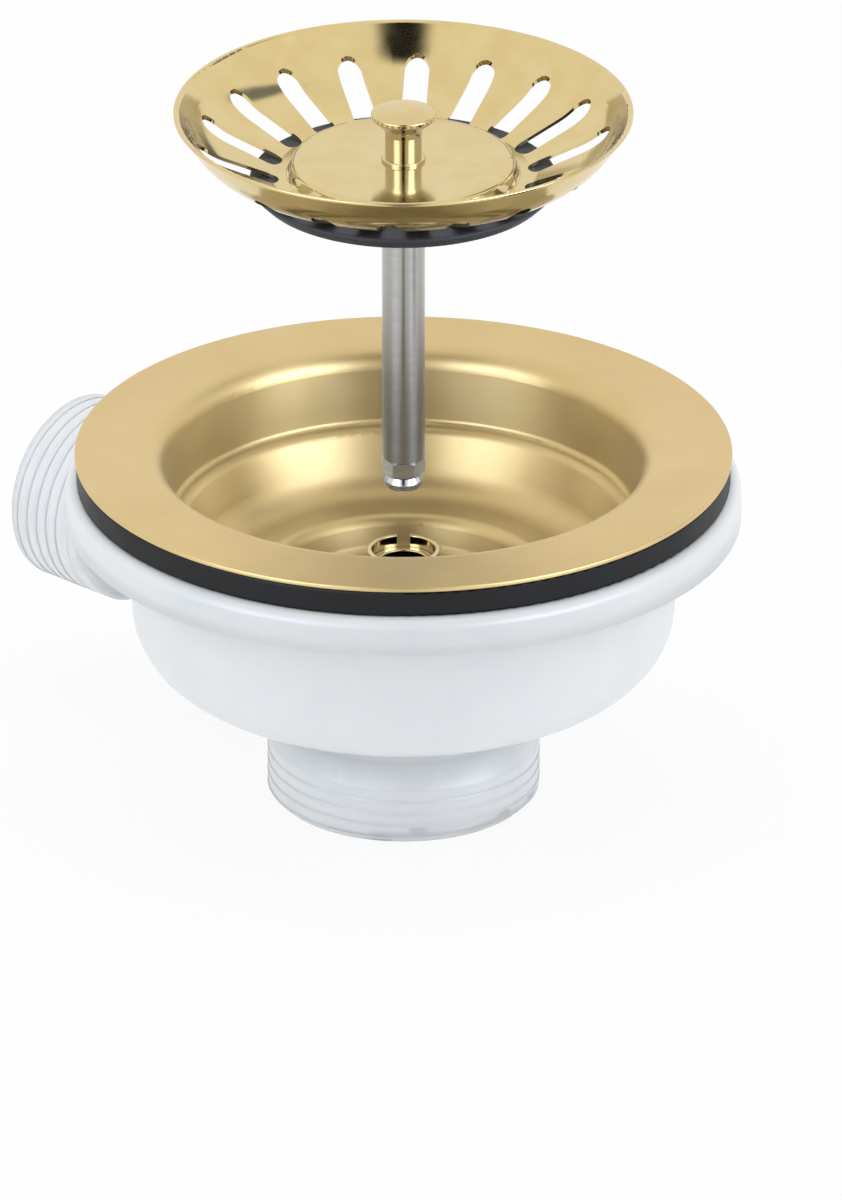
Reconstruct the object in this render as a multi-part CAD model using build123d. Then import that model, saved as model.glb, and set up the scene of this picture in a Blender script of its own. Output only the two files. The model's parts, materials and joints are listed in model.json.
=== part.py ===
from build123d import *
import math
import os

# Basket-strainer waste for a kitchen sink, with its plug drawn up out of the bowl.
# A pressed flange bowl and a white moulded body clamp the sink between them: a hollow bolt through
# the bowl's drain well pulls on a nut held in the body's spider. The plug's stem slides in that bolt.
# Millimetres. Z is the drain's axis and points up; z = 0 is the flange's underside, which seats on the sink.

# Outlet spigot, drawn plain at the crest of its G 1 1/2 thread
OUTLET_RADIUS = 23.9
OUTLET_BORE_RADIUS = 20.0
OUTLET_LENGTH = 20.5
OUTLET_CHAMFER = 1.5
OUTLET_NECK_LENGTH = 5.1
OUTLET_NECK_STEP = 0.3

# Cup and rim of the moulded body
CUP_GAP = 1.7
CUP_DEPTH = 38.85
CUP_FLOOR_FALL = 5.7
CUP_CORNER_RADIUS = 13.0
BODY_WALL = 3.0
RIM_OVERHANG = 11.5
RIM_HEIGHT = 6.6
RIM_ROUND = 2.0

# Side port for the overflow, drawn plain at the crest of its G 1 thread
PORT_RADIUS = 16.63
PORT_BORE_RADIUS = 12.4
PORT_NECK_RADIUS = 15.2
PORT_COLLAR_LENGTH = 18.0
PORT_REACH = 80.0
PORT_DROP = 25.35
PORT_ANGLE = 137.0
PORT_CHAMFER = 0.8

# Spider across the outlet, with a pocket for the nut
SPIDER_RIB_COUNT = 4
SPIDER_RIB_THICKNESS = 3.0
BOSS_WALL = 2.6
BOSS_ROOF = 4.0
BOSS_RISE = 5.5

# Nut in the spider
NUT_ACROSS_FLATS = 17.0
NUT_HEIGHT = 8.0
POCKET_CLEARANCE = 0.1

# Gasket between flange and body
GASKET_THICKNESS = 4.75
GASKET_INSET = 0.3
GASKET_BORE_CLEARANCE = 0.6
GASKET_ROUND = 0.6

# Pressed flange bowl; depths run down from the flange's top face
FLANGE_RADIUS = 57.5
BOWL_SHEET = 0.9
BOWL_MOUTH_RADIUS = 42.0
BOWL_WALL_TAPER = 1.0
BOWL_LIP_BEND = 2.7
LEDGE_WIDTH = 2.2
LEDGE_DEPTH = 13.3
LEDGE_BEND = 1.0
BOWL_SLOPE = 4.6
BOWL_FLOOR_BEND = 6.5
SEAT_DEPTH = 23.6
WELL_RADIUS = 23.9
WELL_TAPER = 2.0
WELL_DEPTH = 5.4
WELL_BEND = 1.6
DRAIN_COUNT = 4
DRAIN_WEB = 5.0
DRAIN_MARGIN = 1.8
DRAIN_ROUND = 1.6

# Hollow centre bolt
SHANK_RADIUS = 6.0
SHANK_CLEARANCE = 0.3
THREAD_CLEARANCE = 0.1
SHANK_END = 1.0
CLAMP_WIDTH = 3.0
CLAMP_THICKNESS = 2.0
HUB_RADIUS = 6.5
HUB_WALL = 1.05
HUB_ROUND = 0.3
HUB_SLOT_WIDTH = 2.3
HUB_SLOT_DEPTH = 2.2
HUB_CLEARANCE = 0.25
BOLT_BORE_CLEARANCE = 0.5

# Guide bush inside the bolt's head
BUSH_HEIGHT = 3.5
BUSH_CLEARANCE = 0.1

# Slotted basket; its rim, floor ring and raised disc are pressed from one sheet
BASKET_GAP = 2.0
BASKET_DEPTH = 11.9
BASKET_SHEET = 0.6
BASKET_LIP = 0.8
BASKET_LIP_BEND = 0.3
BASKET_SHOULDER_WIDTH = 4.3
BASKET_SHOULDER_DEPTH = 6.9
BASKET_SHOULDER_BEND = 13.0
BASKET_FLOOR_RADIUS = 22.8
BASKET_FLOOR_BEND = 3.0
DISC_RADIUS = 19.4
DISC_RISE = 2.7
DISC_STEP = 0.8
DISC_BEND = 0.4
SLOT_COUNT = 18
SLOT_WIDTH = 4.3
SLOT_INNER_MARGIN = 1.6
SLOT_OUTER_MARGIN = 3.9
SLOT_START_ANGLE = 86.0

# Seal and its retainer
SEAL_COVER = 2.9
SEAL_THICKNESS = 2.4
SEAL_ROUND = 0.5
SEAL_BEVEL = 1.6
RETAINER_SHEET = 0.6
RETAINER_GAP = 0.3
RETAINER_BORE_RADIUS = 12.5
RETAINER_LIP = 4.2

# Knob
KNOB_HEIGHT = 9.4
KNOB_CAP_RADIUS = 5.65
KNOB_CAP_EDGE = 0.9
KNOB_CAP_CROWN = 0.45
KNOB_CAP_CROWN_BEND = 22.0
KNOB_CAP_FLARE = 2.2
KNOB_NECK_RADIUS = 3.2
KNOB_FOOT_RADIUS = 3.85
KNOB_FOOT_HEIGHT = 0.6

# Stem, lock nut and adjusting screw
STEM_RADIUS = 3.75
STEM_LENGTH = 56.2
STEM_CHAMFER = 0.3
STEM_CLEARANCE = 0.25
STUD_RADIUS = 2.2
STUD_LENGTH = 6.0
SCREW_RADIUS = 1.8
SCREW_DEPTH = 9.0
SCREW_TIP_RADIUS = 3.6
SCREW_TIP_LENGTH = 2.4
SCREW_TIP_BEVEL = 0.6
SCREW_TIP_ROUND = 0.7
SCREW_WAIST = 0.3
LOCK_NUT_ACROSS_FLATS = 6.5
LOCK_NUT_HEIGHT = 2.8
LOCK_NUT_CHAMFER = 0.45
LOCK_NUT_CHAMFER_ANGLE = 30.0
PLUG_LIFT = 73.5

# Levels on the drain's axis
FLANGE_UNDER_Z = 0.0
FLANGE_TOP_Z = FLANGE_UNDER_Z + BOWL_SHEET
BODY_TOP_Z = FLANGE_UNDER_Z - GASKET_THICKNESS
CUP_FLOOR_Z = BODY_TOP_Z - CUP_DEPTH
OUTLET_RIM_Z = CUP_FLOOR_Z - OUTLET_LENGTH
LEDGE_Z = FLANGE_TOP_Z - LEDGE_DEPTH
SEAT_Z = FLANGE_TOP_Z - SEAT_DEPTH
WELL_Z = SEAT_Z - WELL_DEPTH
HUB_TOP_Z = SEAT_Z + SEAL_THICKNESS + DISC_RISE - HUB_CLEARANCE
BOSS_TOP_Z = CUP_FLOOR_Z + BOSS_RISE
NUT_TOP_Z = BOSS_TOP_Z - BOSS_ROOF
NUT_BOTTOM_Z = NUT_TOP_Z - NUT_HEIGHT
PORT_Z = BODY_TOP_Z - PORT_DROP

# Levels of the plug, drawn up by its lift
SEAL_BOTTOM_Z = SEAT_Z + PLUG_LIFT
SEAL_TOP_Z = SEAL_BOTTOM_Z + SEAL_THICKNESS
BASKET_FLOOR_Z = SEAL_TOP_Z + BASKET_SHEET
BASKET_RIM_Z = BASKET_FLOOR_Z + BASKET_DEPTH
DISC_TOP_Z = BASKET_FLOOR_Z + DISC_RISE
DISC_UNDER_Z = DISC_TOP_Z - BASKET_SHEET
STEM_END_Z = DISC_UNDER_Z - STEM_LENGTH
LOCK_NUT_END_Z = STEM_END_Z - LOCK_NUT_HEIGHT

# Radii shared by pieces that meet
OUTLET_NECK_RADIUS = OUTLET_RADIUS - OUTLET_NECK_STEP
CUP_BORE_RADIUS = BOWL_MOUTH_RADIUS + BOWL_SHEET + CUP_GAP
CUP_RADIUS = CUP_BORE_RADIUS + BODY_WALL
RIM_RADIUS = CUP_RADIUS + RIM_OVERHANG
BASKET_RADIUS = BOWL_MOUTH_RADIUS - BASKET_GAP
SEAL_RADIUS = WELL_RADIUS + SEAL_COVER
SHANK_HOLE_RADIUS = SHANK_RADIUS + SHANK_CLEARANCE
CLAMP_RADIUS = HUB_RADIUS + CLAMP_WIDTH
HUB_BORE_RADIUS = HUB_RADIUS - HUB_WALL
POCKET_ACROSS_FLATS = NUT_ACROSS_FLATS + 2 * POCKET_CLEARANCE
BOSS_RADIUS = POCKET_ACROSS_FLATS / math.sqrt(3) + BOSS_WALL
WELL_FLOOR_RADIUS = WELL_RADIUS - WELL_TAPER
DISC_FOOT_RADIUS = DISC_RADIUS + DISC_STEP
RETAINER_RADIUS = DISC_RADIUS - BASKET_SHEET - RETAINER_GAP
SEAL_BORE_RADIUS = RETAINER_RADIUS + RETAINER_GAP

SHEET_EDGE_SHARE = 0.35  # rounding of a sheet's cut edge, as a share of its thickness
PAST = 1.0  # how far a cutter runs past the face it starts from


def turned(*corners):
    """Solid turned about Z from (radius, z) corners; a third number rounds that corner."""
    points = [corner[:2] for corner in corners]
    rounds = [corner[2] if len(corner) == 3 else 0 for corner in corners]
    outline = make_face(FilletPolyline(*points, radius=rounds, close=True))
    return revolve(Plane.XZ * outline, axis=Axis.Z)


def pressed(path, thickness, edge):
    """Solid pressed from sheet, its outer edge rounded: path runs in along the top as (radius, z, inner bend)."""
    top = [Vector(radius, z) for radius, z, _ in path]
    ways = [(end - start).normalized() for start, end in zip(top, top[1:])]
    downs = [Vector(-way.Y, way.X) for way in ways]
    under = [top[0] + downs[0] * thickness]
    top_bends, under_bends = [], []
    for corner, before, after, (_, _, bend) in zip(top[1:], downs, downs[1:], path[1:]):
        under.append(corner + (before + after) * (thickness / (1 + before.dot(after))))
        bends_down = before.cross(after).Z > 0
        top_bends.append(bend + thickness if bends_down else bend)
        under_bends.append(bend if bends_down else bend + thickness)
    under.append(top[-1] + downs[-1] * thickness)
    bends = [edge, *top_bends, 0, 0, *reversed(under_bends), edge]
    outline = make_face(FilletPolyline(*top, *reversed(under), radius=bends, close=True))
    return revolve(Plane.XZ * outline, axis=Axis.Z)


def rod(radius, bottom, top):
    """Cylinder on the drain's axis between two levels."""
    return Pos(0, 0, bottom) * Cylinder(radius, top - bottom, align=(Align.CENTER, Align.CENTER, Align.MIN))


def hexagon(across_flats, bottom, top):
    """Hexagonal bar on the drain's axis between two levels."""
    outline = RegularPolygon(across_flats / 2, 6, major_radius=False)
    return Pos(0, 0, bottom) * extrude(outline, top - bottom)


def along_port(radius, start, end):
    """Cylinder on the side port's axis, between two distances from the drain's axis."""
    frame = Plane((0, 0, PORT_Z), x_dir=(0, 0, 1), z_dir=Vector(1, 0, 0).rotate(Axis.Z, PORT_ANGLE))
    bar = Cylinder(radius, end - start, align=(Align.CENTER, Align.CENTER, Align.MIN))
    return frame * Pos(0, 0, start) * bar


def spokes(count, length, thickness, bottom, top):
    """Upright ribs from the drain's axis outwards, evenly spaced."""
    rib = Box(length, thickness, top - bottom, align=(Align.MIN, Align.CENTER, Align.MIN))
    return [Rot(0, 0, 360 / count * turn) * Pos(0, 0, bottom) * rib for turn in range(count)]


def make_flange_bowl():
    ledge_outer = BOWL_MOUTH_RADIUS - BOWL_WALL_TAPER
    ledge_inner = ledge_outer - LEDGE_WIDTH
    sheet = pressed(
        [
            (FLANGE_RADIUS, FLANGE_TOP_Z, 0),
            (BOWL_MOUTH_RADIUS, FLANGE_TOP_Z, BOWL_LIP_BEND),
            (ledge_outer, LEDGE_Z, LEDGE_BEND),
            (ledge_inner, LEDGE_Z, LEDGE_BEND),
            (ledge_inner - BOWL_SLOPE, SEAT_Z, BOWL_FLOOR_BEND),
            (WELL_RADIUS, SEAT_Z, WELL_BEND),
            (WELL_FLOOR_RADIUS, WELL_Z, WELL_BEND),
            (SHANK_HOLE_RADIUS, WELL_Z, 0),
        ],
        BOWL_SHEET,
        BOWL_SHEET * SHEET_EDGE_SHARE,
    )
    inner = CLAMP_RADIUS + DRAIN_MARGIN
    outer = WELL_FLOOR_RADIUS - BOWL_SHEET - DRAIN_MARGIN
    openings = Circle(outer) - Circle(inner)
    for turn in range(DRAIN_COUNT):
        web = Rectangle(outer + PAST, DRAIN_WEB, align=(Align.MIN, Align.CENTER))
        openings -= Rot(0, 0, 360 / DRAIN_COUNT * turn) * web
    openings = fillet(openings.vertices(), DRAIN_ROUND)
    cutter = extrude(openings, BOWL_SHEET + 2 * PAST)
    return sheet - Pos(0, 0, WELL_Z - BOWL_SHEET - PAST) * cutter


def make_flange_gasket():
    inner = BOWL_MOUTH_RADIUS + BOWL_SHEET + BOWL_LIP_BEND + GASKET_BORE_CLEARANCE
    outer = FLANGE_RADIUS - GASKET_INSET
    return turned(
        (inner, BODY_TOP_Z),
        (outer, BODY_TOP_Z, GASKET_ROUND),
        (outer, FLANGE_UNDER_Z, GASKET_ROUND),
        (inner, FLANGE_UNDER_Z),
    )


def make_waste_body():
    floor_edge_z = CUP_FLOOR_Z + CUP_FLOOR_FALL
    thread_top = CUP_FLOOR_Z - OUTLET_NECK_LENGTH
    rim_bottom = BODY_TOP_Z - RIM_HEIGHT
    body = turned(
        (0, OUTLET_RIM_Z),
        (OUTLET_RADIUS - OUTLET_CHAMFER, OUTLET_RIM_Z),
        (OUTLET_RADIUS, OUTLET_RIM_Z + OUTLET_CHAMFER),
        (OUTLET_RADIUS, thread_top),
        (OUTLET_NECK_RADIUS, thread_top),
        (OUTLET_NECK_RADIUS, CUP_FLOOR_Z),
        (CUP_RADIUS, floor_edge_z, CUP_CORNER_RADIUS),
        (CUP_RADIUS, rim_bottom),
        (RIM_RADIUS, rim_bottom),
        (RIM_RADIUS, BODY_TOP_Z, RIM_ROUND),
        (0, BODY_TOP_Z),
    )
    body += along_port(PORT_NECK_RADIUS, OUTLET_BORE_RADIUS, PORT_REACH)
    collar = along_port(PORT_RADIUS, PORT_REACH - PORT_COLLAR_LENGTH, PORT_REACH)
    port_way = Vector(1, 0, 0).rotate(Axis.Z, PORT_ANGLE)
    collar_rims = collar.edges().filter_by(GeomType.CIRCLE).sort_by(lambda edge: edge.center().dot(port_way))
    body += chamfer(collar_rims, PORT_CHAMFER)

    floor_slope = CUP_FLOOR_FALL / (CUP_RADIUS - OUTLET_NECK_RADIUS)
    floor_rise = BODY_WALL * math.hypot(1, floor_slope)
    bore_floor_z = CUP_FLOOR_Z + floor_rise + floor_slope * (OUTLET_BORE_RADIUS - OUTLET_NECK_RADIUS)
    cup_floor_z = CUP_FLOOR_Z + floor_rise + floor_slope * (CUP_BORE_RADIUS - OUTLET_NECK_RADIUS)
    body -= turned(
        (0, OUTLET_RIM_Z - PAST),
        (OUTLET_BORE_RADIUS, OUTLET_RIM_Z - PAST),
        (OUTLET_BORE_RADIUS, bore_floor_z),
        (CUP_BORE_RADIUS, cup_floor_z, CUP_CORNER_RADIUS - BODY_WALL),
        (CUP_BORE_RADIUS, BODY_TOP_Z + PAST),
        (0, BODY_TOP_Z + PAST),
    )
    body -= along_port(PORT_BORE_RADIUS, OUTLET_BORE_RADIUS, PORT_REACH + PAST)

    rib_length = (OUTLET_BORE_RADIUS + OUTLET_NECK_RADIUS) / 2
    body += spokes(SPIDER_RIB_COUNT, rib_length, SPIDER_RIB_THICKNESS, NUT_BOTTOM_Z, NUT_TOP_Z)
    body += rod(BOSS_RADIUS, NUT_BOTTOM_Z, BOSS_TOP_Z)
    body -= rod(SHANK_HOLE_RADIUS, NUT_BOTTOM_Z, BOSS_TOP_Z + PAST)
    body -= hexagon(POCKET_ACROSS_FLATS, NUT_BOTTOM_Z - PAST, NUT_TOP_Z)
    return body


def make_body_nut():
    return hexagon(NUT_ACROSS_FLATS, NUT_BOTTOM_Z, NUT_TOP_Z) - rod(
        SHANK_RADIUS + THREAD_CLEARANCE, NUT_BOTTOM_Z - PAST, NUT_TOP_Z + PAST
    )


def make_centre_bolt():
    bush_floor = HUB_TOP_Z - HUB_SLOT_DEPTH - BUSH_HEIGHT - BUSH_CLEARANCE
    bore = STEM_RADIUS + BOLT_BORE_CLEARANCE
    shank_end = NUT_BOTTOM_Z - SHANK_END
    bolt = turned(
        (bore, shank_end),
        (SHANK_RADIUS, shank_end),
        (SHANK_RADIUS, WELL_Z),
        (CLAMP_RADIUS, WELL_Z),
        (CLAMP_RADIUS, WELL_Z + CLAMP_THICKNESS, HUB_ROUND),
        (HUB_RADIUS, WELL_Z + CLAMP_THICKNESS),
        (HUB_RADIUS, HUB_TOP_Z, HUB_ROUND),
        (HUB_BORE_RADIUS, HUB_TOP_Z, HUB_ROUND),
        (HUB_BORE_RADIUS, bush_floor),
        (bore, bush_floor),
    )
    slot = Box(HUB_SLOT_WIDTH, 2 * HUB_RADIUS + PAST, HUB_SLOT_DEPTH + PAST)
    return bolt - Pos(0, 0, HUB_TOP_Z - HUB_SLOT_DEPTH / 2 + PAST / 2) * slot


def make_guide_bush():
    top = HUB_TOP_Z - HUB_SLOT_DEPTH
    outer = HUB_BORE_RADIUS - BUSH_CLEARANCE
    inner = STEM_RADIUS + STEM_CLEARANCE
    return turned(
        (inner, top - BUSH_HEIGHT),
        (outer, top - BUSH_HEIGHT),
        (outer, top),
        (inner, top, STEM_CHAMFER),
    )


def make_strainer_basket():
    mouth = BASKET_RADIUS - BASKET_LIP
    dish = pressed(
        [
            (BASKET_RADIUS, BASKET_RIM_Z, 0),
            (mouth, BASKET_RIM_Z, BASKET_LIP_BEND),
            (mouth - BASKET_SHOULDER_WIDTH, BASKET_RIM_Z - BASKET_SHOULDER_DEPTH, BASKET_SHOULDER_BEND),
            (BASKET_FLOOR_RADIUS, BASKET_FLOOR_Z, BASKET_FLOOR_BEND),
            (DISC_FOOT_RADIUS, BASKET_FLOOR_Z, DISC_BEND),
            (DISC_RADIUS, DISC_TOP_Z, DISC_BEND),
            (STUD_RADIUS + THREAD_CLEARANCE, DISC_TOP_Z, 0),
        ],
        BASKET_SHEET,
        BASKET_SHEET * SHEET_EDGE_SHARE,
    )
    start = DISC_FOOT_RADIUS + SLOT_INNER_MARGIN
    end = BASKET_RADIUS - SLOT_OUTER_MARGIN
    outline = Pos((start + end) / 2, 0) * SlotOverall(end - start, SLOT_WIDTH)
    cutter = Pos(0, 0, SEAL_TOP_Z - PAST) * extrude(outline, BASKET_RIM_Z - SEAL_TOP_Z + PAST)
    return dish - [
        Rot(0, 0, SLOT_START_ANGLE + 360 / SLOT_COUNT * turn) * cutter for turn in range(SLOT_COUNT)
    ]


def make_basket_seal():
    return turned(
        (SEAL_BORE_RADIUS, SEAL_BOTTOM_Z),
        (SEAL_RADIUS - SEAL_BEVEL, SEAL_BOTTOM_Z, SEAL_ROUND),
        (SEAL_RADIUS, SEAL_BOTTOM_Z + SEAL_BEVEL, SEAL_ROUND),
        (SEAL_RADIUS, SEAL_TOP_Z, SEAL_ROUND),
        (SEAL_BORE_RADIUS, SEAL_TOP_Z),
    )


def make_seal_retainer():
    wall_bore = RETAINER_RADIUS - RETAINER_SHEET
    bottom = SEAL_BOTTOM_Z - RETAINER_SHEET
    return turned(
        (RETAINER_BORE_RADIUS, DISC_UNDER_Z),
        (RETAINER_BORE_RADIUS, DISC_UNDER_Z - RETAINER_SHEET),
        (wall_bore, DISC_UNDER_Z - RETAINER_SHEET),
        (wall_bore, bottom),
        (RETAINER_RADIUS + RETAINER_LIP, bottom),
        (RETAINER_RADIUS + RETAINER_LIP, SEAL_BOTTOM_Z),
        (RETAINER_RADIUS, SEAL_BOTTOM_Z),
        (RETAINER_RADIUS, DISC_UNDER_Z),
    )


def make_lift_knob():
    top = DISC_TOP_Z + KNOB_HEIGHT
    cap_rim = top - KNOB_CAP_CROWN
    cap_under = cap_rim - KNOB_CAP_EDGE
    hole = STUD_RADIUS + THREAD_CLEARANCE
    hole_top = DISC_TOP_Z + STUD_LENGTH + THREAD_CLEARANCE
    return turned(
        (0, hole_top),
        (hole, hole_top),
        (hole, DISC_TOP_Z),
        (KNOB_FOOT_RADIUS, DISC_TOP_Z),
        (KNOB_FOOT_RADIUS, DISC_TOP_Z + KNOB_FOOT_HEIGHT, KNOB_FOOT_HEIGHT * 0.4),
        (KNOB_NECK_RADIUS, DISC_TOP_Z + KNOB_FOOT_HEIGHT),
        (KNOB_NECK_RADIUS, cap_under - KNOB_CAP_FLARE, KNOB_CAP_FLARE),
        (KNOB_CAP_RADIUS, cap_under, KNOB_CAP_EDGE * 0.4),
        (KNOB_CAP_RADIUS, cap_rim, KNOB_CAP_EDGE * 0.4),
        (KNOB_CAP_RADIUS / 2, top, KNOB_CAP_CROWN_BEND),
        (0, top),
    )


def make_plug_stem():
    hole = SCREW_RADIUS + THREAD_CLEARANCE
    hole_top = STEM_END_Z + SCREW_DEPTH + THREAD_CLEARANCE
    stud_top = DISC_TOP_Z + STUD_LENGTH
    return turned(
        (0, hole_top),
        (hole, hole_top),
        (hole, STEM_END_Z),
        (STEM_RADIUS - STEM_CHAMFER, STEM_END_Z),
        (STEM_RADIUS, STEM_END_Z + STEM_CHAMFER),
        (STEM_RADIUS, DISC_UNDER_Z),
        (STUD_RADIUS, DISC_UNDER_Z),
        (STUD_RADIUS, stud_top),
        (0, stud_top),
    )


def make_lock_nut():
    middle = (LOCK_NUT_END_Z + STEM_END_Z) / 2
    end_radius = LOCK_NUT_ACROSS_FLATS / math.sqrt(3) - LOCK_NUT_CHAMFER
    middle_radius = end_radius + LOCK_NUT_HEIGHT / 2 / math.tan(math.radians(LOCK_NUT_CHAMFER_ANGLE))
    bevels = turned(
        (0, LOCK_NUT_END_Z),
        (end_radius, LOCK_NUT_END_Z),
        (middle_radius, middle),
        (end_radius, STEM_END_Z),
        (0, STEM_END_Z),
    )
    hole = rod(SCREW_RADIUS + THREAD_CLEARANCE, LOCK_NUT_END_Z - PAST, STEM_END_Z + PAST)
    return (hexagon(LOCK_NUT_ACROSS_FLATS, LOCK_NUT_END_Z, STEM_END_Z) & bevels) - hole


def make_adjusting_screw():
    tip_top = LOCK_NUT_END_Z - SCREW_WAIST
    tip = tip_top - SCREW_TIP_LENGTH
    return turned(
        (0, STEM_END_Z + SCREW_DEPTH),
        (SCREW_RADIUS, STEM_END_Z + SCREW_DEPTH),
        (SCREW_RADIUS, tip_top),
        (SCREW_TIP_RADIUS - SCREW_TIP_BEVEL, tip_top),
        (SCREW_TIP_RADIUS, tip + SCREW_TIP_LENGTH / 2, SCREW_TIP_ROUND),
        (SCREW_TIP_RADIUS - SCREW_TIP_BEVEL, tip, SCREW_TIP_ROUND),
        (0, tip),
    )


PIECES = {
    "flange_bowl": make_flange_bowl,
    "flange_gasket": make_flange_gasket,
    "waste_body": make_waste_body,
    "body_nut": make_body_nut,
    "centre_bolt": make_centre_bolt,
    "guide_bush": make_guide_bush,
    "strainer_basket": make_strainer_basket,
    "basket_seal": make_basket_seal,
    "seal_retainer": make_seal_retainer,
    "lift_knob": make_lift_knob,
    "plug_stem": make_plug_stem,
    "lock_nut": make_lock_nut,
    "adjusting_screw": make_adjusting_screw,
}

os.makedirs("parts", exist_ok=True)
for name, make in PIECES.items():
    export_step(make(), f"parts/{name}.step")
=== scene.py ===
# %% [markdown]
# # A basket-strainer waste, with its plug drawn up out of the bowl
# The CAD model already holds every piece at its real size and place, so this lesson only dresses it:
# camera, studio, finishes, and the two pipe threads that are too fine for the CAD solids.
# The frame is loaded first and its box is kept, because dressing the part may not change its size.

# %% Load the frame
import json
import math

import bmesh
import bpy
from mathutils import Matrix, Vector


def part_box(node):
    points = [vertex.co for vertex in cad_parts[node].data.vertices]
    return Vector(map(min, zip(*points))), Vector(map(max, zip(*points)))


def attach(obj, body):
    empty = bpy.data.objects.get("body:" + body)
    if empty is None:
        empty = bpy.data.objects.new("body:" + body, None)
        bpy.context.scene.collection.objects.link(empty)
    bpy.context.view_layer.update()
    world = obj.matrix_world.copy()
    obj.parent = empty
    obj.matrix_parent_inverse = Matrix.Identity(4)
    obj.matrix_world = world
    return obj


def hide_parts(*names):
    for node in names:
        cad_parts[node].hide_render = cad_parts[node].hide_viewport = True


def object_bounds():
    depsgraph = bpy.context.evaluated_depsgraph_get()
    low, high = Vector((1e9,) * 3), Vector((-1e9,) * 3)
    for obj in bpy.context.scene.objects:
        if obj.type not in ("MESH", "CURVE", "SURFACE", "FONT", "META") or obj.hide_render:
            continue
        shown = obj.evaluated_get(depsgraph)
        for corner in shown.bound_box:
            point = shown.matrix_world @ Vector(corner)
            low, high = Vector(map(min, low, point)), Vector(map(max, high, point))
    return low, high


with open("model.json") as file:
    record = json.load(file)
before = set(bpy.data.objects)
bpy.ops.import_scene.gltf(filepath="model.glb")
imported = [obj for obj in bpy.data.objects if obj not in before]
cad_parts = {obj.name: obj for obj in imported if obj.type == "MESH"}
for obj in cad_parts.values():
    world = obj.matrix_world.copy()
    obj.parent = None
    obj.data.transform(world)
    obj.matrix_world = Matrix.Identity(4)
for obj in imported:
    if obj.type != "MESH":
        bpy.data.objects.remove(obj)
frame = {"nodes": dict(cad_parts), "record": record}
cad_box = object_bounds()
nodes = frame["nodes"]
MM = 0.001
print("nodes:", ", ".join(sorted(nodes)))

# %% [markdown]
# ## Camera
# The photograph was taken with a long lens from a little above, so upright lines stay upright and the
# round flange shows as an ellipse. The flange's known width and its width in pixels give the scale, and the
# scale and the distance give the focal length: the sensor's long side lies along the picture's height. The
# camera then aims at the point in the picture's middle.

# %% Camera at the photograph's viewing angle
PHOTO_WIDTH_PX = 842
PHOTO_HEIGHT_PX = 1200
FLANGE_CENTRE_PX = (403.5, 450.5)
PX_PER_MM = 5.722
VIEW_PITCH = math.radians(24.8)
VIEW_DISTANCE = 4500 * MM
SENSOR_LONG_SIDE_MM = 36.0

flange_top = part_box("flange_bowl")[1].z
to_camera = Vector((0, -math.cos(VIEW_PITCH), math.sin(VIEW_PITCH)))
picture_up = Vector((0, math.sin(VIEW_PITCH), math.cos(VIEW_PITCH)))
aim_right = (PHOTO_WIDTH_PX / 2 - FLANGE_CENTRE_PX[0]) / PX_PER_MM * MM
aim_down = (PHOTO_HEIGHT_PX / 2 - FLANGE_CENTRE_PX[1]) / PX_PER_MM * MM
aim = Vector((aim_right, 0, flange_top)) - picture_up * aim_down

camera_data = bpy.data.cameras.new("photo_camera")
camera_data.sensor_fit = "AUTO"
camera_data.sensor_width = SENSOR_LONG_SIDE_MM
camera_data.lens = PX_PER_MM / MM * VIEW_DISTANCE / PHOTO_HEIGHT_PX * SENSOR_LONG_SIDE_MM
camera = bpy.data.objects.new("photo_camera", camera_data)
camera.location = aim + to_camera * VIEW_DISTANCE
camera.rotation_euler = to_camera.to_track_quat("Z", "Y").to_euler()
bpy.context.scene.collection.objects.link(camera)
bpy.context.scene.camera = camera
bpy.context.scene.view_settings.view_transform = "Standard"
print(f"lens {camera_data.lens:.0f} mm, aimed at {[round(v / MM, 1) for v in aim]} mm")

# %% [markdown]
# ## Two helpers for shading
# Colours are written as the sRGB hex values that an eye or a colour picker would give, and one function
# turns them into the linear values that the renderer works with. A second one adds a node with its settings
# and links.

# %% Colour and node helpers
def linear(hex_colour):
    """Linear RGBA of an sRGB colour written as #RRGGBB."""
    channels = [int(hex_colour[start:start + 2], 16) / 255 for start in (1, 3, 5)]
    curve = [c / 12.92 if c <= 0.04045 else ((c + 0.055) / 1.055) ** 2.4 for c in channels]
    return (*curve, 1.0)


def add(tree, kind, settings=None, inputs=None):
    """Add a node; inputs gives each socket, by name or number, a value or another node's output."""
    node = tree.nodes.new(kind)
    for name, value in (settings or {}).items():
        setattr(node, name, value)
    for key, value in (inputs or {}).items():
        if isinstance(value, bpy.types.NodeSocket):
            tree.links.new(value, node.inputs[key])
        else:
            node.inputs[key].default_value = value
    return node


print("white is", [round(c, 3) for c in linear("#FFFFFF")])

# %% [markdown]
# ## Floor and world
# The fitting stands on its outlet's rim. A pale floor carries a soft shadow, and the world gives an even
# fill. What the camera and the mirror-bright metal see of them is plain white: the Light Path node swaps
# the shading for those rays alone, so the white costs no extra light on the object.

# %% White studio
FLOOR_HALF_WIDTH = 4.0
SHADOW_SHARE = 0.1
FILL_STRENGTH = 0.57

floor_z = cad_box[0][2]
floor_mesh = bpy.data.meshes.new("studio_floor")
corners = [(-1, -1), (1, -1), (1, 1), (-1, 1)]
floor_corners = [(x * FLOOR_HALF_WIDTH, y * FLOOR_HALF_WIDTH, floor_z) for x, y in corners]
floor_mesh.from_pydata(floor_corners, [], [range(4)])
floor = bpy.data.objects.new("studio_floor", floor_mesh)
bpy.context.scene.collection.objects.link(floor)


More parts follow.
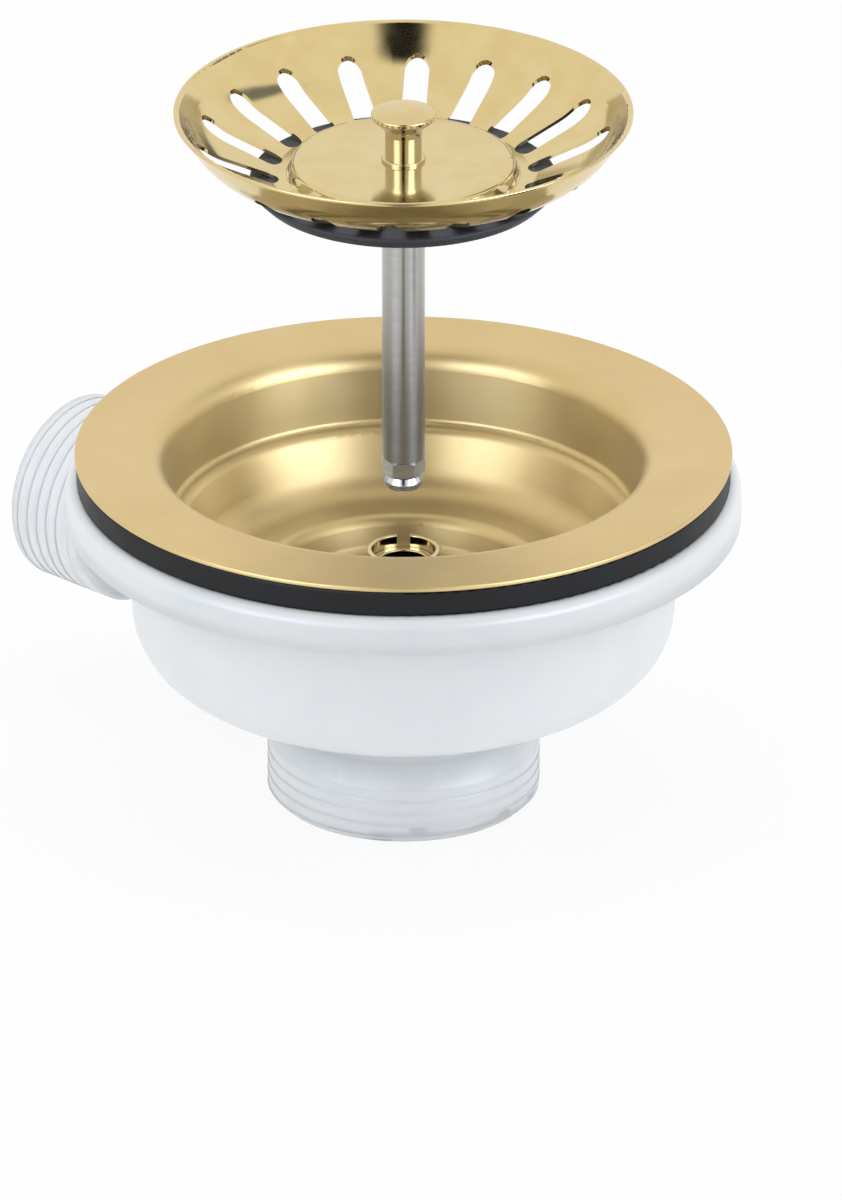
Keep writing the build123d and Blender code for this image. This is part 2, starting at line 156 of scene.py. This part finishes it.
def seen_rays(tree):
    """1 for rays that look at the studio: from the camera, a mirror or glass."""
    path = add(tree, "ShaderNodeLightPath")
    mirror = add(tree, "ShaderNodeMath", {"operation": "MAXIMUM"},
                 {0: path.outputs["Is Camera Ray"], 1: path.outputs["Is Glossy Ray"]})
    glass = add(tree, "ShaderNodeMath", {"operation": "MAXIMUM"},
                {0: mirror.outputs[0], 1: path.outputs["Is Transmission Ray"]})
    return glass.outputs[0]


floor_paint = bpy.data.materials.new("matt_white_floor")
floor_paint.use_nodes = True
tree = floor_paint.node_tree
tree.nodes.clear()
matt = add(tree, "ShaderNodeBsdfDiffuse", inputs={"Color": linear("#F4F4F4")})
glow = add(tree, "ShaderNodeEmission", inputs={"Color": linear("#FFFFFF"), "Strength": 1.0})
white_share = add(tree, "ShaderNodeMath", {"operation": "MULTIPLY"},
                  {0: seen_rays(tree), 1: 1 - SHADOW_SHARE})
mixed = add(tree, "ShaderNodeMixShader",
            inputs={0: white_share.outputs[0], 1: matt.outputs[0], 2: glow.outputs[0]})
add(tree, "ShaderNodeOutputMaterial", inputs={"Surface": mixed.outputs[0]})
floor_mesh.materials.append(floor_paint)

world = bpy.data.worlds.new("white_studio")
bpy.context.scene.world = world
world.use_nodes = True
tree = world.node_tree
tree.nodes.clear()
fill = add(tree, "ShaderNodeBackground", inputs={"Color": linear("#F4F6F9"), "Strength": FILL_STRENGTH})
white = add(tree, "ShaderNodeBackground", inputs={"Color": linear("#FFFFFF"), "Strength": 1.0})
mixed = add(tree, "ShaderNodeMixShader",
            inputs={0: seen_rays(tree), 1: fill.outputs[0], 2: white.outputs[0]})
add(tree, "ShaderNodeOutputWorld", inputs={"Surface": mixed.outputs[0]})
print(f"floor at {floor_z / MM:.1f} mm")

# %% [markdown]
# ## Lamps and cards
# Soft lamps above and at the sides shape the white plastic, and a narrow beam lifts the outlet out of the
# cup's shade. They are hidden from reflections, because bright metal would show them as hard white panes.
# What the metal shows instead are cards, as a photographer hangs them round gold: pale ones for broad
# highlights, dark ones for the lines that tell the eye how a wall curves. A card fades out towards its edge,
# casts no shadow and is seen by reflections only.

# %% Soft lamps
OUTLET_MIDDLE_Z = floor_z + 9 * MM
LAMPS = {  # place in metres, what it is aimed at, width, height, watts, spread in degrees
    "lamp_overhead": ((0.0, 0.1, 1.5), (0, 0, 0), 1.4, 1.2, 10.0, 180),
    "lamp_left": ((-1.35, -0.35, 0.6), (0, 0, 0), 0.8, 1.1, 4.8, 180),
    "lamp_right": ((1.35, -0.25, 0.6), (0, 0, 0), 0.8, 1.1, 5.5, 180),
    "lamp_low_front": ((0.0, -1.2, 0.02), (0, 0, 0), 1.2, 0.3, 0.7, 180),
    "lamp_outlet": ((0.0, -0.5, OUTLET_MIDDLE_Z), (0, 0, OUTLET_MIDDLE_Z), 0.2, 0.014, 0.004, 14),
}
for name, (place, target, width, height, watts, spread) in LAMPS.items():
    lamp = bpy.data.lights.new(name, "AREA")
    lamp.shape, lamp.size, lamp.size_y, lamp.energy = "RECTANGLE", width, height, watts
    lamp.spread = math.radians(spread)
    holder = bpy.data.objects.new(name, lamp)
    holder.location = place
    holder.rotation_euler = (Vector(place) - Vector(target)).to_track_quat("Z", "Y").to_euler()
    holder.visible_glossy = False
    bpy.context.scene.collection.objects.link(holder)
print("lamps:", ", ".join(LAMPS))

# %% Soft-edged cards
CARD_DISTANCE = 1.2
CARDS = {  # degrees right of the camera, degrees up, width and height in metres, brightness (white is 1)
    "card_dark_front": (0, 42, 0.6, 2.1, 0.02),
    "card_dark_back": (120, 45, 0.45, 0.9, 0.3),
    "card_pale_left": (-42, 15, 1.4, 0.8, 6.2),
    "card_pale_right": (52, 15, 1.5, 0.8, 7.8),
}
DAYLIGHT = "#DCE8FF"  # a cool white, which keeps the gold's highlights pale
FADE_FROM = 0.45  # share of the card's half-width where it starts to fade


def card_material(name, brightness):
    """Emission of this brightness, fading to nothing towards the edge of a card that spans -1 to 1."""
    material = bpy.data.materials.new(name)
    material.use_nodes = True
    tree = material.node_tree
    tree.nodes.clear()
    place = add(tree, "ShaderNodeTexCoord").outputs["Object"]
    reach = add(tree, "ShaderNodeVectorMath", {"operation": "LENGTH"}, {0: place})
    solid = add(tree, "ShaderNodeMapRange", {"interpolation_type": "SMOOTHSTEP"},
                {"Value": reach.outputs["Value"], "From Min": FADE_FROM, "From Max": 1.0,
                 "To Min": 1.0, "To Max": 0.0})
    clear = add(tree, "ShaderNodeBsdfTransparent")
    glow = add(tree, "ShaderNodeEmission", inputs={"Color": linear(DAYLIGHT), "Strength": brightness})
    mixed = add(tree, "ShaderNodeMixShader",
                inputs={0: solid.outputs[0], 1: clear.outputs[0], 2: glow.outputs[0]})
    add(tree, "ShaderNodeOutputMaterial", inputs={"Surface": mixed.outputs[0]})
    return material


def hang_card(name, centre, facing, width, height, brightness):
    """A card at this place, turned to face a direction, that only reflections see."""
    mesh = bpy.data.meshes.new(name)
    mesh.from_pydata([(x, y, 0) for x, y in corners], [], [range(4)])
    mesh.materials.append(card_material(name, brightness))
    card = bpy.data.objects.new(name, mesh)
    card.location = centre
    card.rotation_euler = facing.to_track_quat("Z", "Y").to_euler()
    card.scale = (width / 2, height / 2, 1)
    bpy.context.scene.collection.objects.link(card)
    card.visible_camera = card.visible_shadow = card.visible_diffuse = False


for name, (right, up, width, height, brightness) in CARDS.items():
    turn, rise = math.radians(right), math.radians(up)
    way = Vector((math.sin(turn) * math.cos(rise), -math.cos(turn) * math.cos(rise), math.sin(rise)))
    hang_card(name, way * CARD_DISTANCE, way, width, height, brightness)
print("cards:", ", ".join(CARDS))

# %% [markdown]
# Seen from above, an upright rod mirrors the floor, so its dark lines come from strips laid there, which run
# away from the stem.

# %% Dark strips on the floor
STRIPS = {  # degrees right of the camera, width in metres
    "strip_front": (0, 0.11),
    "strip_right": (58, 0.16),
}
STRIP_NEAR, STRIP_FAR = 0.13, 0.6
STRIP_LIFT = 2 * MM
STRIP_BRIGHTNESS = 0.04
for name, (right, width) in STRIPS.items():
    turn = math.radians(right)
    along = Vector((math.sin(turn), -math.cos(turn), 0))
    centre = along * (STRIP_NEAR + STRIP_FAR) / 2 + Vector((0, 0, floor_z + STRIP_LIFT))
    hang_card(name, centre, Vector((0, 0, 1)), width, STRIP_FAR - STRIP_NEAR, STRIP_BRIGHTNESS)
    bpy.data.objects[name].rotation_euler = (0, 0, turn)
print("strips:", ", ".join(STRIPS))

# %% [markdown]
# ## Finishes
# Each finish starts from what the real surface is and how it was made. The gold is a thin coating on steel
# or brass, so it is a pale champagne and not the red of pure gold. Patterns read Object coordinates, which
# here are metres in the shared frame, so a pattern's scale is one over its size.

# %% A start for every finish
NOISE_LOW, NOISE_HIGH = 0.3, 0.7  # a noise seldom leaves this span


def new_finish(name, hex_colour, metallic, roughness):
    """A material, its tree and its shader, with the main numbers on the shader's own sockets."""
    material = bpy.data.materials.new(name)
    material.use_nodes = True
    shader = material.node_tree.nodes["Principled BSDF"]
    shader.inputs["Base Color"].default_value = linear(hex_colour)
    shader.inputs["Metallic"].default_value = metallic
    shader.inputs["Roughness"].default_value = roughness
    return material, material.node_tree, shader


def vary(tree, place, size_mm, low, high, detail=2.0):
    """A soft noise of this size in millimetres, and the same noise mapped between two numbers."""
    noise = add(tree, "ShaderNodeTexNoise",
                inputs={"Vector": place, "Scale": 1 / (size_mm * MM), "Detail": detail})
    spread = add(tree, "ShaderNodeMapRange",
                 inputs={"Value": noise.outputs[0], "From Min": NOISE_LOW, "From Max": NOISE_HIGH,
                         "To Min": low, "To Max": high})
    return noise.outputs[0], spread.outputs[0]


def tint(tree, factor, first, second):
    """A colour between two hex colours."""
    ramp = add(tree, "ShaderNodeValToRGB", inputs={0: factor})
    ramp.color_ramp.elements[0].color = linear(first)
    ramp.color_ramp.elements[1].color = linear(second)
    ramp.color_ramp.elements[0].position = NOISE_LOW
    ramp.color_ramp.elements[1].position = NOISE_HIGH
    return ramp.outputs[0]


print("a pattern of 5 mm has a scale of", round(1 / (5 * MM)))


# %% [markdown]
# Deep in the bowl, gold mirrors gold. Each mirroring multiplies the colour, and two or three of them would
# turn the pale coating to orange, which the real thin coating doesn't do. So a gold surface that is itself
# seen in a shiny surface answers with a calm beige, and the light keeps the champagne tint of the first
# surface.

# %% Gold that stays pale where gold mirrors gold
MIRRORED_GOLD = "#C4BBA6"


def calm_gold(tree, colour):
    """The colour, or beige for rays that come from another shiny surface."""
    path = add(tree, "ShaderNodeLightPath")
    mixed = add(tree, "ShaderNodeMix", {"data_type": "RGBA"},
                {0: path.outputs["Is Glossy Ray"], 6: colour, 7: linear(MIRRORED_GOLD)})
    return mixed.outputs[2]


print("gold seen in gold is", MIRRORED_GOLD)


# %% Satin gold coating on pressed steel
ACROSS = 0.25  # a quarter turn: a highlight is drawn out across lines that run round the axis
SPIN_LINE_SPACING = 0.34 * MM
WAVE_RADIANS = 20  # what the Wave node runs through for each unit of its scale


def make_satin_gold():
    # Spun with fine abrasive before coating: broad soft highlights, drawn out across the spin lines.
    material, tree, shader = new_finish("satin_gold_coated_steel", "#DCC28B", 1.0, 0.4)
    place = add(tree, "ShaderNodeTexCoord").outputs["Object"]
    cloud, rough = vary(tree, place, 14.0, 0.38, 0.43)
    # Spin lines are a few hundredths of a millimetre apart; drawn at a third of one so that they show.
    rings = add(tree, "ShaderNodeTexWave", {"wave_type": "RINGS", "rings_direction": "Z"},
                {"Vector": place, "Scale": 2 * math.pi / (WAVE_RADIANS * SPIN_LINE_SPACING),
                 "Distortion": 1.5, "Detail": 2.0})
    bump = add(tree, "ShaderNodeBump",
               inputs={"Height": rings.outputs[1], "Strength": 0.03, "Distance": 0.02 * MM})
    spin = add(tree, "ShaderNodeTangent", {"direction_type": "RADIAL", "axis": "Z"})
    shader.inputs["Anisotropic"].default_value = 0.6
    shader.inputs["Anisotropic Rotation"].default_value = ACROSS
    tree.links.new(calm_gold(tree, tint(tree, cloud, "#D9BE86", "#E0C790")), shader.inputs["Base Color"])
    tree.links.new(rough, shader.inputs["Roughness"])
    tree.links.new(bump.outputs[0], shader.inputs["Normal"])
    tree.links.new(spin.outputs[0], shader.inputs["Tangent"])
    return material


satin_gold = make_satin_gold()
print(satin_gold.name)

# %% Polished gold coating on pressed steel
def make_polished_gold(name, first, second):
    # Buffed to a mirror, with the faint ripple of a pressing: it shows the room, slightly bent.
    material, tree, shader = new_finish(name, first, 1.0, 0.08)
    place = add(tree, "ShaderNodeTexCoord").outputs["Object"]
    cloud, rough = vary(tree, place, 5.0, 0.09, 0.14)
    ripple = add(tree, "ShaderNodeTexNoise",
                 inputs={"Vector": place, "Scale": 1 / (7.0 * MM), "Detail": 1.0})
    bump = add(tree, "ShaderNodeBump",
               inputs={"Height": ripple.outputs[0], "Strength": 0.05, "Distance": 0.05 * MM})
    tree.links.new(calm_gold(tree, tint(tree, cloud, first, second)), shader.inputs["Base Color"])
    tree.links.new(rough, shader.inputs["Roughness"])
    tree.links.new(bump.outputs[0], shader.inputs["Normal"])
    return material


polished_gold_steel = make_polished_gold("polished_gold_coated_steel", "#DAC389", "#E0CB95")
polished_gold_brass = make_polished_gold("polished_gold_plated_brass", "#D9C18A", "#E0CA95")
print(polished_gold_steel.name, polished_gold_brass.name)

# %% Bare metals
def make_ground_steel():
    # Rod ground between wheels: scratches run round it, and smear what it mirrors into lines along it.
    material, tree, shader = new_finish("ground_stainless_steel", "#B3B1AD", 1.0, 0.25)
    place = add(tree, "ShaderNodeTexCoord").outputs["Object"]
    flattened = add(tree, "ShaderNodeMapping", inputs={"Vector": place, "Scale": (0.1, 0.1, 1)}).outputs[0]
    scratch, rough = vary(tree, flattened, 0.5, 0.23, 0.26, 3.0)
    spin = add(tree, "ShaderNodeTangent", {"direction_type": "RADIAL", "axis": "Z"})
    shader.inputs["Anisotropic"].default_value = 0.85
    shader.inputs["Anisotropic Rotation"].default_value = ACROSS
    tree.links.new(tint(tree, scratch, "#B0AEAA", "#B6B4B0"), shader.inputs["Base Color"])
    tree.links.new(rough, shader.inputs["Roughness"])
    tree.links.new(spin.outputs[0], shader.inputs["Tangent"])
    return material


def make_turned_metal(name, first, second, low, high):
    # Turned on a lathe: faint rings across the axis.
    material, tree, shader = new_finish(name, first, 1.0, low)
    place = add(tree, "ShaderNodeTexCoord").outputs["Object"]
    flattened = add(tree, "ShaderNodeMapping", inputs={"Vector": place, "Scale": (0.05, 0.05, 1)}).outputs[0]
    ring, rough = vary(tree, flattened, 0.3, low, high)
    bump = add(tree, "ShaderNodeBump", inputs={"Height": ring, "Strength": 0.06, "Distance": 0.02 * MM})
    tree.links.new(tint(tree, ring, first, second), shader.inputs["Base Color"])
    tree.links.new(rough, shader.inputs["Roughness"])
    tree.links.new(bump.outputs[0], shader.inputs["Normal"])
    return material


ground_steel = make_ground_steel()
bright_nickel = make_turned_metal("bright_nickel_plate", "#C6C8CA", "#D6D7D8", 0.1, 0.18)
turned_brass = make_turned_metal("turned_brass", "#C2A25C", "#CFB06A", 0.2, 0.3)
print(ground_steel.name, bright_nickel.name, turned_brass.name)

# %% Rubbers
def make_rubber(name, first, second, roughness):
    # Moulded rubber: almost no shine, with a fine grain and a bloom that greys it in patches.
    material, tree, shader = new_finish(name, first, 0.0, roughness)
    place = add(tree, "ShaderNodeTexCoord").outputs["Object"]
    bloom, rough = vary(tree, place, 9.0, roughness - 0.06, roughness + 0.08, 4.0)
    grain = add(tree, "ShaderNodeTexNoise",
                inputs={"Vector": place, "Scale": 1 / (0.35 * MM), "Detail": 2.0})
    bump = add(tree, "ShaderNodeBump",
               inputs={"Height": grain.outputs[0], "Strength": 0.15, "Distance": 0.05 * MM})
    shader.inputs["Specular IOR Level"].default_value = 0.3
    tree.links.new(tint(tree, bloom, first, second), shader.inputs["Base Color"])
    tree.links.new(rough, shader.inputs["Roughness"])
    tree.links.new(bump.outputs[0], shader.inputs["Normal"])
    return material


gasket_rubber = make_rubber("moulded_black_rubber", "#0B0B0A", "#121110", 0.5)
seal_rubber = make_rubber("moulded_slate_rubber", "#33363D", "#3D4048", 0.5)
print(gasket_rubber.name, seal_rubber.name)

# %% White moulded polypropylene
def make_white_polypropylene():
    # Injection moulded: soft gloss over a faintly rippled skin, with a little light let in below it.
    material, tree, shader = new_finish("moulded_white_polypropylene", "#E9ECEF", 0.0, 0.33)
    place = add(tree, "ShaderNodeTexCoord").outputs["Object"]
    cloud, rough = vary(tree, place, 18.0, 0.28, 0.38, 3.0)
    skin = add(tree, "ShaderNodeTexNoise", inputs={"Vector": place, "Scale": 1 / (1.6 * MM), "Detail": 3.0})
    bump = add(tree, "ShaderNodeBump",
               inputs={"Height": skin.outputs[0], "Strength": 0.08, "Distance": 0.08 * MM})
    shader.inputs["IOR"].default_value = 1.49
    shader.inputs["Subsurface Weight"].default_value = 0.12
    shader.inputs["Subsurface Radius"].default_value = (1.0, 0.9, 0.8)
    shader.inputs["Subsurface Scale"].default_value = 1.2 * MM
    tree.links.new(tint(tree, cloud, "#E6EAED", "#ECEFF1"), shader.inputs["Base Color"])
    tree.links.new(rough, shader.inputs["Roughness"])
    tree.links.new(bump.outputs[0], shader.inputs["Normal"])
    return material


white_polypropylene = make_white_polypropylene()
print(white_polypropylene.name)

# %% [markdown]
# ## Finishes on the CAD pieces
# Most CAD pieces already have the right shape, so they stay and only take a finish.
# Assigning to the object's slots leaves the mesh itself alone.

# %% Dress the CAD pieces
FINISHES = {
    "flange_bowl": satin_gold,
    "flange_gasket": gasket_rubber,
    "waste_body": white_polypropylene,
    "body_nut": turned_brass,
    "centre_bolt": polished_gold_brass,
    "guide_bush": polished_gold_brass,
    "strainer_basket": polished_gold_steel,
    "basket_seal": seal_rubber,
    "seal_retainer": ground_steel,
    "lift_knob": polished_gold_brass,
    "plug_stem": ground_steel,
    "lock_nut": bright_nickel,
    "adjusting_screw": bright_nickel,
}
for name, finish in FINISHES.items():
    slots = nodes[name].material_slots
    if not slots:
        nodes[name].data.materials.append(finish)
    for slot in slots:
        slot.material = finish
print(len(FINISHES), "pieces dressed")

# %% [markdown]
# ## Pipe threads
# The outlet and the side port carry parallel pipe threads with eleven turns to the inch. A thread follows a
# rule, so Geometry Nodes make it: a groove section is swept along a spiral and cut out of the body. The body
# is a merged copy of the CAD mesh, since a CAD mesh stays as it is. Cutting keeps the crests at the CAD size.

# %% Node tree that cuts one thread
PITCH = 25.4 / 11 * MM
STEPS_PER_TURN = 96
RUN_OUT_FROM = 0.9  # share of the spiral after which the groove shrinks away
RUN_OUT_SIZE = 0.05
QUARTER_TURN = math.radians(90)


def make_thread_tree():
    tree = bpy.data.node_groups.new("cut_pipe_thread", "GeometryNodeTree")
    tree.interface.new_socket("Geometry", in_out="INPUT", socket_type="NodeSocketGeometry")
    for name in ("Crest radius", "Groove depth", "Mouth width", "Root width", "Pitch", "Turns", "Overcut"):
        tree.interface.new_socket(name, in_out="INPUT", socket_type="NodeSocketFloat")
    tree.interface.new_socket("Start", in_out="INPUT", socket_type="NodeSocketVector")
    tree.interface.new_socket("Rotation", in_out="INPUT", socket_type="NodeSocketVector")
    tree.interface.new_socket("Finish", in_out="INPUT", socket_type="NodeSocketMaterial")
    tree.interface.new_socket("Geometry", in_out="OUTPUT", socket_type="NodeSocketGeometry")
    given = add(tree, "NodeGroupInput").outputs

    height = add(tree, "ShaderNodeMath", {"operation": "MULTIPLY"}, {0: given["Pitch"], 1: given["Turns"]})
    helix = add(tree, "GeometryNodeCurveSpiral", inputs={
        "Resolution": STEPS_PER_TURN, "Rotations": given["Turns"], "Start Radius": given["Crest radius"],
        "End Radius": given["Crest radius"], "Height": height.outputs[0]})
    upright = add(tree, "GeometryNodeSetCurveNormal", {"mode": "Z_UP"}, {"Curve": helix.outputs[0]})

    tall = add(tree, "ShaderNodeMath", {"operation": "ADD"},
               {0: given["Groove depth"], 1: given["Overcut"]})
    section = add(tree, "GeometryNodeCurvePrimitiveQuadrilateral", {"mode": "TRAPEZOID"}, {
        "Height": tall.outputs[0], "Bottom Width": given["Root width"],
        "Top Width": given["Mouth width"], "Offset": 0.0})
    shift = add(tree, "ShaderNodeMath", {"operation": "SUBTRACT"},
                {0: given["Overcut"], 1: given["Groove depth"]})
    half_shift = add(tree, "ShaderNodeMath", {"operation": "MULTIPLY"}, {0: shift.outputs[0], 1: 0.5})
    sunk = add(tree, "ShaderNodeCombineXYZ", inputs={"X": half_shift.outputs[0]})
    # A swept section's X axis points away from the spiral's axis, so the section is turned to open there.
    seated = add(tree, "GeometryNodeTransform", inputs={
        "Geometry": section.outputs[0], "Translation": sunk.outputs[0], "Rotation": (0, 0, -QUARTER_TURN)})

    along = add(tree, "GeometryNodeSplineParameter")
    run_out = add(tree, "ShaderNodeMapRange", inputs={
        "Value": along.outputs["Factor"], "From Min": RUN_OUT_FROM, "From Max": 1.0,
        "To Min": 1.0, "To Max": RUN_OUT_SIZE})
    groove = add(tree, "GeometryNodeCurveToMesh", inputs={
        "Curve": upright.outputs[0], "Profile Curve": seated.outputs[0],
        "Scale": run_out.outputs[0], "Fill Caps": True})
    placed = add(tree, "GeometryNodeTransform", inputs={
        "Geometry": groove.outputs[0], "Translation": given["Start"], "Rotation": given["Rotation"]})
    cut = add(tree, "GeometryNodeMeshBoolean", {"operation": "DIFFERENCE", "solver": "EXACT"}, {
        "Mesh 1": given["Geometry"], "Mesh 2": placed.outputs[0]})
    real = add(tree, "GeometryNodeRealizeInstances", inputs={"Geometry": cut.outputs[0]})
    dressed = add(tree, "GeometryNodeSetMaterial",
                  inputs={"Geometry": real.outputs[0], "Material": given["Finish"]})
    add(tree, "NodeGroupOutput", inputs={"Geometry": dressed.outputs[0]})
    return tree


thread_tree = make_thread_tree()
print(len(thread_tree.nodes), "nodes in", thread_tree.name)

# %% A merged copy of the body
MERGE_DISTANCE = 0.002 * MM
SHARP_ANGLE = math.radians(28)


def merged_copy(node, name):
    """A copy of a CAD node's mesh with its loose triangles joined."""
    mesh = nodes[node].data.copy()
    mesh.name = name
    work = bmesh.new()
    work.from_mesh(mesh)
    bmesh.ops.remove_doubles(work, verts=work.verts, dist=MERGE_DISTANCE)
    open_edges = sum(not edge.is_manifold for edge in work.edges)
    work.to_mesh(mesh)
    work.free()
    print(name, "has", len(mesh.polygons), "faces and", open_edges, "open edges")
    piece = bpy.data.objects.new(name, mesh)
    bpy.context.scene.collection.objects.link(piece)
    return piece


threaded_body = merged_copy("waste_body", "threaded_body")

# %% Thread sizes and places
GROOVE = {"Mouth width": 2.2 * MM, "Root width": 0.6 * MM, "Pitch": PITCH, "Overcut": 0.1 * MM,
          "Finish": white_polypropylene}
OUTLET_GROOVE_DEPTH = 0.45 * MM
PORT_GROOVE_DEPTH = 0.3 * MM
LEAD_IN = 1.2  # turns that start clear of the end, so that the groove runs out through the end face
OUTLET_TURNS = 4.8
PORT_TURNS = 6.6

mounts = {mount["name"]: mount for mount in frame["record"]["mounts"]}
port_axis = Vector(mounts["overflow_thread"]["axis"]).normalized()
port_seat = Vector(mounts["overflow_thread"]["pos_m"])
port_reach = max((v.co - port_seat).dot(port_axis) for v in nodes["waste_body"].data.vertices)
port_end = port_seat + port_axis * port_reach
inward = -port_axis
print(f"the port ends {port_end.xy.length / MM:.1f} mm from the drain's axis")

# %% Cut both threads
def keep_result(piece):
    """Swap a piece's mesh for what its modifiers make of it, and drop them."""
    bpy.context.view_layer.update()
    graph = bpy.context.evaluated_depsgraph_get()
    result = bpy.data.meshes.new_from_object(
        piece.evaluated_get(graph), preserve_all_data_layers=True, depsgraph=graph)
    piece.modifiers.clear()
    old, piece.data = piece.data, result
    bpy.data.meshes.remove(old)
    print(piece.name, "now has", len(result.polygons), "faces")


def cut_thread(piece, sizes):
    """Run the thread tree on a piece with these inputs."""
    modifier = piece.modifiers.new("thread", "NODES")
    modifier.node_group = thread_tree
    for socket in thread_tree.interface.items_tree:
        if socket.item_type == "SOCKET" and socket.in_out == "INPUT" and socket.name in sizes:
            modifier[socket.identifier] = sizes[socket.name]
    keep_result(piece)


cut_thread(threaded_body, {
    **GROOVE, "Crest radius": mounts["outlet_thread"]["dims"]["r_mm"] * MM,
    "Groove depth": OUTLET_GROOVE_DEPTH, "Turns": OUTLET_TURNS + LEAD_IN,
    "Start": (0, 0, floor_z - LEAD_IN * PITCH), "Rotation": (0, 0, 0)})
cut_thread(threaded_body, {
    **GROOVE, "Crest radius": mounts["overflow_thread"]["dims"]["r_mm"] * MM,
    "Groove depth": PORT_GROOVE_DEPTH, "Turns": PORT_TURNS + LEAD_IN,
    "Start": port_end - inward * LEAD_IN * PITCH,
    "Rotation": inward.to_track_quat("Z", "Y").to_euler()})

# %% [markdown]
# Cutting leaves long, uneven faces round the grooves, and plain smooth shading would show them as patches.
# So the uncut body lends its own shading to every corner that still lies on its surface, and then a share
# of it to the grooves, whose edges and roots are rounded on the moulding.

# %% Smooth shading from the uncut body
ON_SURFACE = 0.01 * MM
IN_GROOVES = 0.6 * MM
GROOVE_SHARE = 0.25
for piece in (threaded_body, merged_copy("waste_body", "uncut_body")):
    piece.data.shade_smooth()
    piece.data.set_sharp_from_angle(angle=SHARP_ANGLE)
uncut_body = bpy.data.objects["uncut_body"]
for reach, share in ((ON_SURFACE, 1.0), (IN_GROOVES, GROOVE_SHARE)):
    lend = threaded_body.modifiers.new("shading", "DATA_TRANSFER")
    lend.object = uncut_body
    lend.use_loop_data = True
    lend.data_types_loops = {"CUSTOM_NORMAL"}
    lend.loop_mapping = "POLYINTERP_NEAREST"
    lend.use_max_distance = True
    lend.max_distance = reach
    lend.mix_factor = share
keep_result(threaded_body)
bpy.data.objects.remove(uncut_body)

# %% The threaded body stands for the CAD body
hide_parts("waste_body")
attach(threaded_body, "waste")
threaded_body.data.name = "threaded_body"
print("threaded body rides on waste, with", [m.name for m in threaded_body.data.materials])
